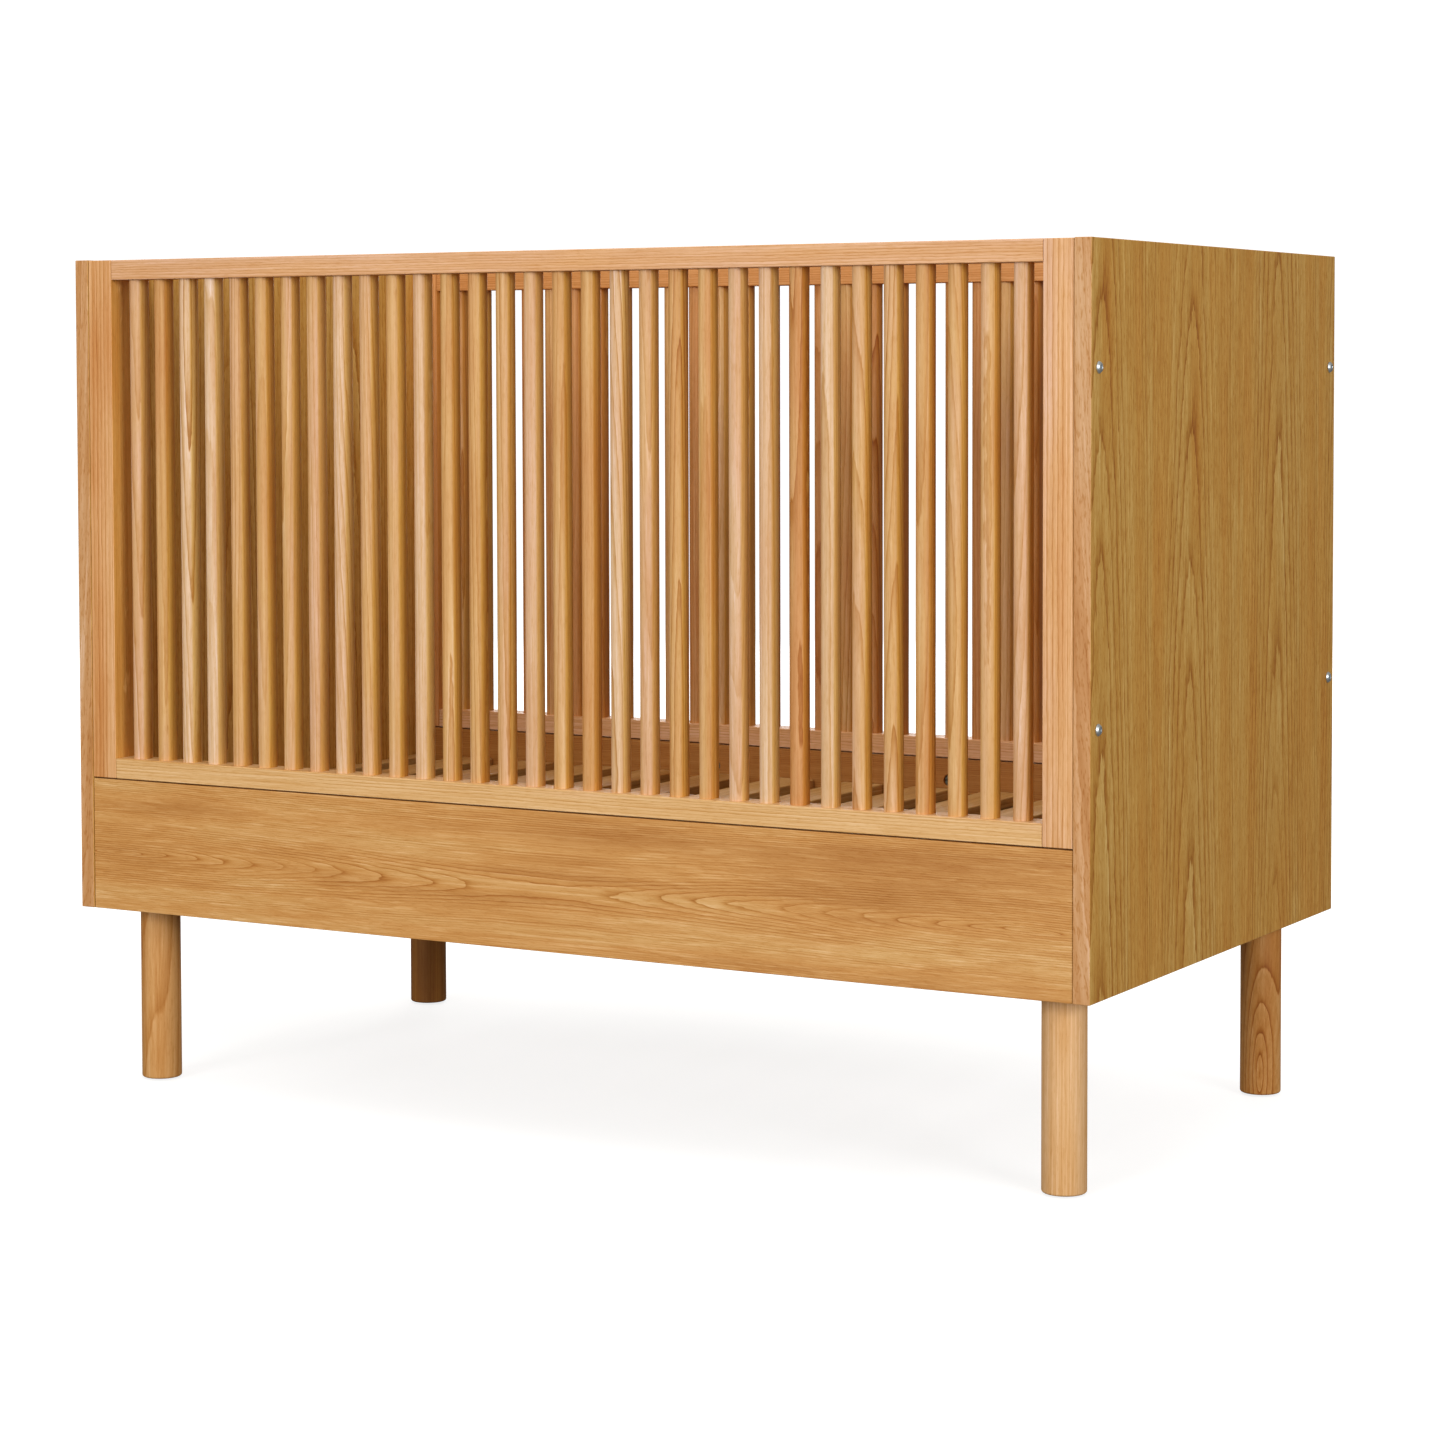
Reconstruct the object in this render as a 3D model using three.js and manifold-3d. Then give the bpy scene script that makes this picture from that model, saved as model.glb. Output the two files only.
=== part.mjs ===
// Baby crib: two solid end panels, two slatted gates over two aprons, four round legs, and a slatted
// mattress base that can be bolted at three heights.
// Millimetres, +Z up. The origin is on the floor under the middle of the crib; +X runs along its
// length to the right and -Y is the front.
import * as THREE from "three";
import { mergeVertices } from "three/addons/utils/BufferGeometryUtils.js";
import Module from "manifold-3d";

const wasm = await Module();
wasm.setup();

// ---- Driving dimensions ----
const LENGTH = 1240; // over the end panels
const DEPTH = 670; // end panel, front to rear
const HEIGHT = 932; // floor to the top of the end panels
const LEG_HEIGHT = 202; // floor to the underside of the panels
const FIT = 0.3; // gap left where two pieces meet

const PANEL_THICKNESS = 18;
const GATE_THICKNESS = 32;
const GATE_SETBACK = 1; // gate and apron faces lie this far inside the panel edges
const GATE_END_GAP = 0.5; // gate or apron to end panel
const APRON_HEIGHT = 147;
const APRON_GATE_GAP = 1.5;
const GATE_TOP_DROP = 0.5; // gate top below the panel top

const STILE_WIDTH = 32;
const TOP_RAIL_HEIGHT = 22;
const BOTTOM_RAIL_HEIGHT = 22.5;
const SLAT_COUNT = 32;
const SLAT_WIDTH = 16;
const SLAT_DEPTH = 22;
const SLAT_CORNER = 6.5; // radius of a slat's long edges
const SLAT_PITCH = 35;

const BOLT_SHANK = 6; // diameter
const BOLT_HEAD = 12; // diameter
const BOLT_HEAD_HEIGHT = 3;
const BOLT_SOCKET = 4; // hexagon across flats
const BOLT_CLEARANCE = 0.6; // bore diameter over shank diameter
const GATE_BOLT_LENGTH = 45;
const GATE_BOLT_HEIGHTS = { lower: LEG_HEIGHT + 262, upper: LEG_HEIGHT + 607 };

const LEG_RADIUS = 22.5;
const LEG_X = 563;
const LEG_Y = 266;
const LEG_EDGE = 1.5; // chamfer round the foot of a leg
const GLIDE_RADIUS = 8.5;
const GLIDE_HEIGHT = 2;
const GLIDE_EDGE = 0.6; // chamfer round the underside of a glide
const GLIDE_PIN_RADIUS = 1.8;
const GLIDE_PIN_LENGTH = 14;
const LEG_BOLT_RADIUS = 4;
const LEG_BOLT_IN_LEG = 40;
const LEG_BOLT_IN_BLOCK = 34;
const BLOCK_SIZE = 76;
const BLOCK_HEIGHT = 38;

const CAM_X = 160;
const CAM_HEIGHT = LEG_HEIGHT + 121;
const CAM_RADIUS = 7.4;
const CAM_LENGTH = 12;
const CAM_RECESS = 3; // face of a cam lock below the face of the apron
const CAM_SLOT_WIDTH = 1.8;
const CAM_SLOT_DEPTH = 2;

const BASE_TOP = LEG_HEIGHT + 112;
const BASE_LENGTH = 1200;
const BASE_DEPTH = 600;
const BASE_HEIGHT = 57;
const BASE_RAIL_THICKNESS = 22;
const BASE_SLAT_COUNT = 12;
const BASE_SLAT_WIDTH = 52;
const BASE_SLAT_THICKNESS = 12;
const BASE_BOLT_Y = 200;
const BASE_BOLT_LENGTH = 21.5;
const BASE_LEVELS = [0, 120, 240]; // lifts of the base that have a row of holes
const LEVEL_HOLE_RADIUS = 4.5;
const LEVEL_HOLE_DEPTH = 12;

// ---- Places worked out from them ----
const PANEL_INNER = LENGTH / 2 - PANEL_THICKNESS;
const GATE_END = PANEL_INNER - GATE_END_GAP;
const GATE_OUTER_Y = DEPTH / 2 - GATE_SETBACK;
const GATE_Y = GATE_OUTER_Y - GATE_THICKNESS / 2;
const GATE_INNER_Y = GATE_OUTER_Y - GATE_THICKNESS;
const GATE_BOTTOM = LEG_HEIGHT + APRON_HEIGHT + APRON_GATE_GAP;
const GATE_TOP = HEIGHT - GATE_TOP_DROP;
const STILE_INNER = GATE_END - STILE_WIDTH;
const BASE_BOLT_HEIGHT = BASE_TOP - BASE_HEIGHT / 2;
const BORE_RADIUS = (BOLT_SHANK + BOLT_CLEARANCE) / 2;

const SIDES = [["left", -1], ["right", 1]];
const FACES = [["front", -1], ["rear", 1]];
const CORNERS = FACES.flatMap(([face, y]) => SIDES.map(([side, x]) => [`${face}_${side}`, x, y]));

// ---- Finishes ----
const wood = (colour) => ({ color: colour, roughness: 0.55, metalness: 0 });
const PANEL_WOOD = wood(0xb98a4c);
const APRON_WOOD = wood(0xc99555);
const GATE_WOOD = wood(0xdba878);
const SLAT_WOOD = wood(0xd9ac72);
const LEG_WOOD = wood(0xc08a50);
const BASE_WOOD = wood(0xc9a06a);
const BLOCK_WOOD = wood(0xb98a58);
const ZINC = { color: 0xb9bec2, roughness: 0.3, metalness: 1 };
const BLACK_PLASTIC = { color: 0x1d1a18, roughness: 0.6, metalness: 0 };

// ---- Solids ----
function toSolid(geometry) {
  const bare = geometry.clone();
  bare.deleteAttribute("normal");
  bare.deleteAttribute("uv");
  const merged = mergeVertices(bare, 1e-4);
  return new wasm.Manifold(
    new wasm.Mesh({
      numProp: 3,
      vertProperties: merged.attributes.position.array,
      triVerts: new Uint32Array(merged.index.array),
    }),
  );
}

function toGeometry(solid) {
  const mesh = solid.getMesh();
  const geometry = new THREE.BufferGeometry();
  geometry.setAttribute("position", new THREE.BufferAttribute(mesh.vertProperties, 3));
  geometry.setIndex(new THREE.BufferAttribute(mesh.triVerts, 1));
  geometry.computeVertexNormals();
  return geometry;
}

function cut(geometry, tools) {
  return toGeometry(tools.reduce((solid, tool) => solid.subtract(toSolid(tool)), toSolid(geometry)));
}

function join(geometries) {
  return toGeometry(geometries.map(toSolid).reduce((whole, solid) => whole.add(solid)));
}

// A named mesh with a material of its own, its geometry moved to its own middle.
function piece(name, finish, geometry) {
  geometry.computeBoundingBox();
  const middle = geometry.boundingBox.getCenter(new THREE.Vector3());
  geometry.translate(-middle.x, -middle.y, -middle.z);
  const mesh = new THREE.Mesh(geometry, new THREE.MeshStandardMaterial(finish));
  mesh.name = name;
  mesh.position.copy(middle);
  return mesh;
}

// A box between two opposite corners, given in any order.
function box(a, b) {
  const size = a.map((value, i) => Math.abs(b[i] - value));
  const middle = a.map((value, i) => (value + b[i]) / 2);
  return new THREE.BoxGeometry(...size).translate(...middle);
}

// A round bar along the axis "x", "y" or "z" between two places on it. The point gives the other two.
function bar(axis, radius, start, end, point, sides = 16) {
  const geometry = new THREE.CylinderGeometry(radius, radius, Math.abs(end - start), sides);
  if (axis === "x") geometry.rotateZ(Math.PI / 2);
  if (axis === "z") geometry.rotateX(Math.PI / 2);
  const middle = { ...point, [axis]: (start + end) / 2 };
  return geometry.translate(middle.x, middle.y, middle.z);
}

// A turned piece standing on +Z, from its profile of [radius, height] points that starts and ends on
// the axis.
function turned(profile, sides = 16) {
  const points = profile.map(([radius, height]) => new THREE.Vector2(radius, height));
  return new THREE.LatheGeometry(points, sides).rotateX(Math.PI / 2);
}

// A button-head bolt with a hexagon socket. Its head stands on z = 0 and its shank hangs below.
function buttonHeadBolt(shankLength) {
  const head = BOLT_HEAD / 2;
  const blank = turned([
    [0, -shankLength],
    [BOLT_SHANK / 2, -shankLength],
    [BOLT_SHANK / 2, 0],
    [head, 0],
    [head, 0.25 * BOLT_HEAD_HEIGHT],
    [0.84 * head, 0.68 * BOLT_HEAD_HEIGHT],
    [0.55 * head, BOLT_HEAD_HEIGHT],
    [0, BOLT_HEAD_HEIGHT],
  ]);
  const top = { x: 0, y: 0 };
  const socket = bar("z", BOLT_SOCKET / Math.sqrt(3), 0.35 * BOLT_HEAD_HEIGHT, BOLT_HEAD_HEIGHT + 1, top, 6);
  return cut(blank, [socket]);
}

// ---- Frame ----
// A solid end panel: through holes for the gate bolts and three rows of blind holes for the base.
function endPanel([side, x]) {
  const holes = [];
  for (const [, y] of FACES) {
    for (const z of Object.values(GATE_BOLT_HEIGHTS)) {
      holes.push(bar("x", BORE_RADIUS, x * (PANEL_INNER - 1), x * (LENGTH / 2 + 1), { y: y * GATE_Y, z }));
    }
    for (const lift of BASE_LEVELS) {
      const place = { y: y * BASE_BOLT_Y, z: BASE_BOLT_HEIGHT + lift };
      holes.push(
        bar("x", LEVEL_HOLE_RADIUS, x * (PANEL_INNER - 1), x * (PANEL_INNER + LEVEL_HOLE_DEPTH), place),
      );
    }
  }
  const blank = box([x * PANEL_INNER, -DEPTH / 2, LEG_HEIGHT], [(x * LENGTH) / 2, DEPTH / 2, HEIGHT]);
  return piece(`${side}_end_panel`, PANEL_WOOD, cut(blank, holes));
}

// A board that closes the long side below a gate, bored from inside for two cam locks.
function apron([face, y]) {
  const bores = SIDES.map(([, x]) =>
    bar("y", CAM_RADIUS + FIT, y * (GATE_INNER_Y - 1), y * (GATE_INNER_Y + CAM_RECESS + CAM_LENGTH + FIT), {
      x: x * CAM_X,
      z: CAM_HEIGHT,
    }),
  );
  const top = LEG_HEIGHT + APRON_HEIGHT;
  const blank = box([-GATE_END, y * GATE_INNER_Y, LEG_HEIGHT], [GATE_END, y * GATE_OUTER_Y, top]);
  return piece(`${face}_apron`, APRON_WOOD, cut(blank, bores));
}

// The round zinc lock that draws a gate's bottom rail down onto the apron, with a screwdriver slot.
function camLock([name, x, y]) {
  const face = y * (GATE_INNER_Y + CAM_RECESS);
  const body = bar("y", CAM_RADIUS, face, face + y * CAM_LENGTH, { x: x * CAM_X, z: CAM_HEIGHT });
  const slot = box(
    [x * CAM_X - CAM_RADIUS, face - y, CAM_HEIGHT - CAM_SLOT_WIDTH / 2],
    [x * CAM_X + CAM_RADIUS, face + y * CAM_SLOT_DEPTH, CAM_HEIGHT + CAM_SLOT_WIDTH / 2],
  );
  return piece(`cam_lock_${name}`, ZINC, cut(body, [slot]));
}

function cornerBlock([name, x, y]) {
  const outer = [x * (PANEL_INNER - FIT), y * (GATE_INNER_Y - FIT)];
  const inner = [x * (PANEL_INNER - BLOCK_SIZE), y * (GATE_INNER_Y - BLOCK_SIZE)];
  const blank = box([...outer, LEG_HEIGHT], [...inner, LEG_HEIGHT + BLOCK_HEIGHT]);
  const place = { x: x * LEG_X, y: y * LEG_Y };
  const bore = bar("z", LEG_BOLT_RADIUS + FIT, LEG_HEIGHT - 1, LEG_HEIGHT + BLOCK_HEIGHT + 1, place);
  return piece(`corner_block_${name}`, BLOCK_WOOD, cut(blank, [bore]));
}

function leg([name, x, y]) {
  const top = LEG_HEIGHT - FIT;
  const foot = GLIDE_HEIGHT + FIT;
  const blank = turned(
    [
      [0, foot],
      [LEG_RADIUS - LEG_EDGE, foot],
      [LEG_RADIUS, foot + LEG_EDGE],
      [LEG_RADIUS, top],
      [0, top],
    ],
    32,
  );
  const axis = { x: 0, y: 0 };
  const pinBore = bar("z", GLIDE_PIN_RADIUS + FIT, foot - 1, GLIDE_HEIGHT + GLIDE_PIN_LENGTH + 2, axis, 12);
  const boltBore = bar("z", LEG_BOLT_RADIUS + FIT, top - LEG_BOLT_IN_LEG - 2, top + 1, axis);
  const geometry = cut(blank, [pinBore, boltBore]).translate(x * LEG_X, y * LEG_Y, 0);
  return piece(`leg_${name}`, LEG_WOOD, geometry);
}

// The double-ended screw that holds a leg to its corner block.
function legBolt([name, x, y]) {
  const place = { x: x * LEG_X, y: y * LEG_Y };
  const ends = [LEG_HEIGHT - LEG_BOLT_IN_LEG, LEG_HEIGHT + LEG_BOLT_IN_BLOCK];
  return piece(`leg_bolt_${name}`, ZINC, bar("z", LEG_BOLT_RADIUS, ...ends, place, 12));
}

// A pin-on glide: a flat disc with a soft edge under the leg, and the pin that holds it.
function legGlide([name, x, y]) {
  const geometry = turned([
    [0, 0],
    [GLIDE_RADIUS - GLIDE_EDGE, 0],
    [GLIDE_RADIUS, GLIDE_EDGE],
    [GLIDE_RADIUS, GLIDE_HEIGHT],
    [GLIDE_PIN_RADIUS, GLIDE_HEIGHT],
    [GLIDE_PIN_RADIUS, GLIDE_HEIGHT + GLIDE_PIN_LENGTH],
    [0, GLIDE_HEIGHT + GLIDE_PIN_LENGTH],
  ]).translate(x * LEG_X, y * LEG_Y, 0);
  return piece(`leg_glide_${name}`, BLACK_PLASTIC, geometry);
}

// ---- Gates ----
function stile([face, y], [side, x]) {
  const bores = Object.values(GATE_BOLT_HEIGHTS).map((z) =>
    bar("x", BORE_RADIUS, x * (LENGTH / 2 - GATE_BOLT_LENGTH - 2), x * (GATE_END + 1), { y: y * GATE_Y, z }),
  );
  const blank = box(
    [x * STILE_INNER, y * GATE_INNER_Y, GATE_BOTTOM],
    [x * GATE_END, y * GATE_OUTER_Y, GATE_TOP],
  );
  return piece(`${face}_gate_${side}_stile`, GATE_WOOD, cut(blank, bores));
}

function topRail([face, y]) {
  const reach = STILE_INNER - FIT;
  const low = GATE_TOP - TOP_RAIL_HEIGHT;
  const blank = box([-reach, y * GATE_INNER_Y, low], [reach, y * GATE_OUTER_Y, GATE_TOP]);
  return piece(`${face}_gate_top_rail`, GATE_WOOD, blank);
}

// An upright slat: a bar of rounded rectangular section, centred on x.
function slat(x, bottom, top) {
  const halfWidth = SLAT_WIDTH / 2 - SLAT_CORNER;
  const halfDepth = SLAT_DEPTH / 2 - SLAT_CORNER;
  const section = new THREE.Shape();
  section.absarc(halfWidth, halfDepth, SLAT_CORNER, 0, Math.PI / 2);
  section.absarc(-halfWidth, halfDepth, SLAT_CORNER, Math.PI / 2, Math.PI);
  section.absarc(-halfWidth, -halfDepth, SLAT_CORNER, Math.PI, (3 * Math.PI) / 2);
  section.absarc(halfWidth, -halfDepth, SLAT_CORNER, (3 * Math.PI) / 2, 2 * Math.PI);
  const extrude = { depth: top - bottom, bevelEnabled: false, curveSegments: 1 };
  return new THREE.ExtrudeGeometry(section, extrude).translate(x, 0, bottom);
}

// The bottom rail with its row of slats, which are glued into it.
function slattedRail([face, y]) {
  const railTop = GATE_BOTTOM + BOTTOM_RAIL_HEIGHT;
  const slatTop = GATE_TOP - TOP_RAIL_HEIGHT - FIT;
  const reach = STILE_INNER - FIT;
  const half = GATE_THICKNESS / 2;
  const solids = [box([-reach, -half, GATE_BOTTOM], [reach, half, railTop])];
  for (let i = 0; i < SLAT_COUNT; i++) {
    solids.push(slat((i - (SLAT_COUNT - 1) / 2) * SLAT_PITCH, railTop - 1, slatTop));
  }
  return piece(`${face}_gate_slatted_rail`, SLAT_WOOD, join(solids).translate(0, y * GATE_Y, 0));
}

function gateBolt([face, y], [side, x], [level, z]) {
  const bolt = piece(`gate_bolt_${face}_${side}_${level}`, ZINC, buttonHeadBolt(GATE_BOLT_LENGTH));
  const seat = new THREE.Group();
  seat.position.set(x * (LENGTH / 2 + FIT), y * GATE_Y, z);
  seat.rotation.y = (x * Math.PI) / 2;
  seat.add(bolt);
  return seat;
}

// ---- Mattress base ----
function baseEndRail([side, x]) {
  const low = BASE_TOP - BASE_HEIGHT;
  const inner = BASE_LENGTH / 2 - BASE_RAIL_THICKNESS;
  const bores = FACES.map(([, y]) =>
    bar("x", BORE_RADIUS, x * (inner - 1), x * (BASE_LENGTH / 2 + 1), {
      y: y * BASE_BOLT_Y,
      z: BASE_BOLT_HEIGHT,
    }),
  );
  const blank = box([x * inner, -BASE_DEPTH / 2, low], [(x * BASE_LENGTH) / 2, BASE_DEPTH / 2, BASE_TOP]);
  return piece(`base_end_rail_${side}`, BASE_WOOD, cut(blank, bores));
}

function baseSideRail([face, y]) {
  const reach = BASE_LENGTH / 2 - BASE_RAIL_THICKNESS - FIT;
  const inner = BASE_DEPTH / 2 - BASE_RAIL_THICKNESS;
  const top = BASE_TOP - BASE_SLAT_THICKNESS - FIT;
  const blank = box([-reach, y * inner, BASE_TOP - BASE_HEIGHT], [reach, (y * BASE_DEPTH) / 2, top]);
  return piece(`base_side_rail_${face}`, BASE_WOOD, blank);
}

// The slats lie on the side rails, spread evenly between the end rails.
function baseSlats() {
  const span = BASE_LENGTH - 2 * BASE_RAIL_THICKNESS;
  const gap = (span - BASE_SLAT_COUNT * BASE_SLAT_WIDTH) / (BASE_SLAT_COUNT + 1);
  return Array.from({ length: BASE_SLAT_COUNT }, (_, i) => {
    const left = -span / 2 + gap + i * (BASE_SLAT_WIDTH + gap);
    const low = [left, -BASE_DEPTH / 2, BASE_TOP - BASE_SLAT_THICKNESS];
    const high = [left + BASE_SLAT_WIDTH, BASE_DEPTH / 2, BASE_TOP];
    return piece(`base_slat_${String(i + 1).padStart(2, "0")}`, BASE_WOOD, box(low, high));
  });
}

// A base bolt, backed out of the panel: its tip is level with the outside of the end rail.
function baseBolt([name, x, y]) {
  const bolt = piece(`base_bolt_${name}`, ZINC, buttonHeadBolt(BASE_BOLT_LENGTH));
  const seat = new THREE.Group();
  const railFace = BASE_LENGTH / 2 - BASE_RAIL_THICKNESS;
  seat.position.set(x * (railFace - FIT), y * BASE_BOLT_Y, BASE_BOLT_HEIGHT);
  seat.rotation.y = (-x * Math.PI) / 2;
  seat.add(bolt);
  return seat;
}

// ---- Assembly ----
function group(name, meshes) {
  const made = new THREE.Group();
  made.name = name;
  made.add(...meshes);
  return made;
}

function gate(face) {
  const stiles = SIDES.map((side) => stile(face, side));
  const bolts = SIDES.flatMap((side) =>
    Object.entries(GATE_BOLT_HEIGHTS).map((level) => gateBolt(face, side, level)),
  );
  return group(`${face[0]}_gate`, [topRail(face), slattedRail(face), ...stiles, ...bolts]);
}

const carcass = group("carcass", [
  ...SIDES.map(endPanel),
  ...FACES.map(apron),
  ...[cornerBlock, leg, legBolt, legGlide, camLock].flatMap((make) => CORNERS.map(make)),
]);

const mattressBase = group("mattress_base", [
  ...SIDES.map(baseEndRail),
  ...FACES.map(baseSideRail),
  ...baseSlats(),
  ...CORNERS.map(baseBolt),
]);

export default group("baby_crib", [carcass, ...FACES.map(gate), mattressBase]);
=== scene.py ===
"""Looks of the baby crib: a wooden cot with solid end panels, slatted gates and round legs.

Metres, +Z up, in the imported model's frame: +X runs along the crib to the right and -Y is the front.
Most pieces of the model keep their shape and get softened edges. The gate slats with their bottom rails, the
legs, the glides, and the gate and base bolts are finer pieces that stand for the plain ones.
"""

import math
import random

import bmesh
import bpy
from mathutils import Euler, Matrix, Vector


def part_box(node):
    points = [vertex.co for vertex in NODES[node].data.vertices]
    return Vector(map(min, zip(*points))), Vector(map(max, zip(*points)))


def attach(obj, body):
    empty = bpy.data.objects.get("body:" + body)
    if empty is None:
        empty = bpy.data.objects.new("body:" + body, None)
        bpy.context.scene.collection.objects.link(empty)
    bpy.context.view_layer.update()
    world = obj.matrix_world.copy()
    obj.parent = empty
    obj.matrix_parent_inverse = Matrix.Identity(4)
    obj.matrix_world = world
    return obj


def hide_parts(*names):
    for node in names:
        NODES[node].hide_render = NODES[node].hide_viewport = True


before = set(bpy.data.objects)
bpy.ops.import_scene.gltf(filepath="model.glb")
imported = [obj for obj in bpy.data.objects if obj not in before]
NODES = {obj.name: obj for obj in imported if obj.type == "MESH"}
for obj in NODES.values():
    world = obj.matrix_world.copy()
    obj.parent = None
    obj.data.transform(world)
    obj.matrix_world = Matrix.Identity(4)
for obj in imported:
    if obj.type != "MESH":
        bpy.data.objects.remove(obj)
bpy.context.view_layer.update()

# ---- Driving sizes ----
SIDES = ("left", "right")
FACES = ("front", "rear")
LEVELS = ("lower", "upper")
CORNERS = tuple(f"{face}_{side}" for face in FACES for side in SIDES)

SLAT_COUNT = 32
SLAT_PITCH = 0.035
SLAT_WIDTH = 0.016
SLAT_DEPTH = 0.022
SLAT_CORNER = 0.0065  # radius of a slat's long edges
SLAT_HOUSING = 0.003  # how far a slat's ends go into the rails
BOTTOM_RAIL_HEIGHT = 0.0225

ARRIS = 0.0008  # radius of the boards' edges
BASE_ARRIS = 0.0015
FITTING_ARRIS = 0.0003
ARRIS_STEPS = 3
TURNED_STEPS = 48
SHARP_ANGLE = math.radians(35)
LEG_FOOT_EDGE = 0.0025
GLIDE_EDGE = 0.0012
BOLT_HEAD_RADIUS = 0.006
BOLT_HEAD_HEIGHT = 0.003
BOLT_SOCKET = 0.004  # hexagon across flats
BOLT_SHANK_RADIUS = 0.003
BOLT_RIM = 0.0007  # height of the upright rim under the head's dome
BOLT_CROWN = 0.55  # radius of the flat on the head, as a share of the head's

PITH_BEND = 0.12  # how gently the pith turns at its nearest point
LEAF_SHIFT = 0.9  # how far apart along the log two veneer leaves can be cut
LEAF_SLIP = 0.1  # how far a leaf's figure can be off its middle, as a share of its width

rng = random.Random(11)


# ---- Node graphs ----
def feed(tree, socket, value):
    """Links a socket to a value that is a socket too, or else sets the value on it."""
    if isinstance(value, bpy.types.NodeSocket):
        tree.links.new(value, socket)
    else:
        socket.default_value = value


def add(tree, kind, inputs=(), **settings):
    """A new shader node with its settings made and its inputs fed, by name or by place."""
    node = tree.nodes.new(kind)
    for name, value in settings.items():
        setattr(node, name, value)
    for key, value in dict(inputs).items():
        feed(tree, node.inputs[key], value)
    return node


def maths(tree, operation, *values):
    return add(tree, "ShaderNodeMath", enumerate(values), operation=operation).outputs[0]


def vector_maths(tree, operation, *values):
    return add(tree, "ShaderNodeVectorMath", enumerate(values), operation=operation).outputs[0]


def noise(tree, vector, stretch, detail=2.0, roughness=0.5):
    """Noise whose grain is 1 / stretch metres along each axis. Its colour output holds three of them."""
    scaled = vector_maths(tree, "MULTIPLY", vector, stretch)
    inputs = {"Vector": scaled, "Scale": 1.0, "Detail": detail, "Roughness": roughness}
    return add(tree, "ShaderNodeTexNoise", inputs)


def noise_along(tree, value, scale, detail):
    """Noise along a single value."""
    inputs = {"W": value, "Scale": scale, "Detail": detail}
    return add(tree, "ShaderNodeTexNoise", inputs, noise_dimensions="1D").outputs[0]


def draw(tree, number):
    """Three random values from 0 to 1, which belong to a whole number."""
    luck = add(tree, "ShaderNodeTexWhiteNoise", {"W": number}, noise_dimensions="1D").outputs["Color"]
    return add(tree, "ShaderNodeSeparateColor", {0: luck}).outputs


def ease(tree, value, low, high):
    """0 below low, 1 above high, and smooth between them."""
    inputs = {"Value": value, "From Min": low, "From Max": high}
    return add(tree, "ShaderNodeMapRange", inputs, interpolation_type="SMOOTHSTEP").outputs[0]


def blend(tree, factor, a, b, mode="MIX"):
    """Mixes two colours."""
    node = add(tree, "ShaderNodeMix", data_type="RGBA", blend_type=mode)
    feed(tree, node.inputs[0], factor)
    feed(tree, node.inputs[6], a)
    feed(tree, node.inputs[7], b)
    return node.outputs[2]


def tint(red, green, blue):
    """A colour given as sRGB values from 0 to 255, as a linear one."""
    def linear(value):
        value /= 255
        return value / 12.92 if value < 0.04045 else ((value + 0.055) / 1.055) ** 2.4

    return (linear(red), linear(green), linear(blue), 1.0)


def new_material(name):
    material = bpy.data.materials.new(name)
    material.use_nodes = True
    tree = material.node_tree
    return material, tree, tree.nodes["Principled BSDF"]


# ---- Wood ----
def facing(tree, axis, low=0.6, high=0.8):
    """1 where the surface faces along an axis, either way, and 0 elsewhere."""
    normal = add(tree, "ShaderNodeTexCoord").outputs["Normal"]
    part = add(tree, "ShaderNodeSeparateXYZ", {0: normal}).outputs[axis]
    return ease(tree, maths(tree, "ABSOLUTE", part), low, high)


def own(tree, name, output="Fac"):
    """A value that the object holds for itself."""
    return add(tree, "ShaderNodeAttribute", attribute_type="OBJECT", attribute_name=name).outputs[output]


def grain_space(tree, axes, leaf):
    """Across, through and along the grain, measured from the pith that the object names.

    The pith comes nearer to the board away from that point, by the object's lean. A veneered board is
    made of leaves of one width, each cut from another place in the log.
    """
    place = add(tree, "ShaderNodeTexCoord").outputs["Object"]
    from_pith = vector_maths(tree, "SUBTRACT", place, own(tree, "pith", "Vector"))
    parts = add(tree, "ShaderNodeSeparateXYZ", {0: from_pith})
    across, through, along = (parts.outputs[axis] for axis in axes)
    if leaf:
        number = maths(tree, "ROUND", maths(tree, "DIVIDE", across, leaf))
        luck = draw(tree, number)
        within = maths(tree, "SUBTRACT", across, maths(tree, "MULTIPLY", number, leaf))
        slip = maths(tree, "SUBTRACT", luck[0], 0.5)
        across = maths(tree, "MULTIPLY_ADD", slip, leaf * LEAF_SLIP, within)
        along = maths(tree, "MULTIPLY_ADD", luck[1], -LEAF_SHIFT, along)
    reach = maths(tree, "SQRT", maths(tree, "MULTIPLY_ADD", along, along, PITH_BEND ** 2))
    nearer = maths(tree, "MULTIPLY", reach, own(tree, "lean"))
    through = maths(tree, "MULTIPLY", through, maths(tree, "SUBTRACT", 1.0, nearer))
    return add(tree, "ShaderNodeCombineXYZ", {0: across, 1: through, 2: along}).outputs[0]


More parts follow.
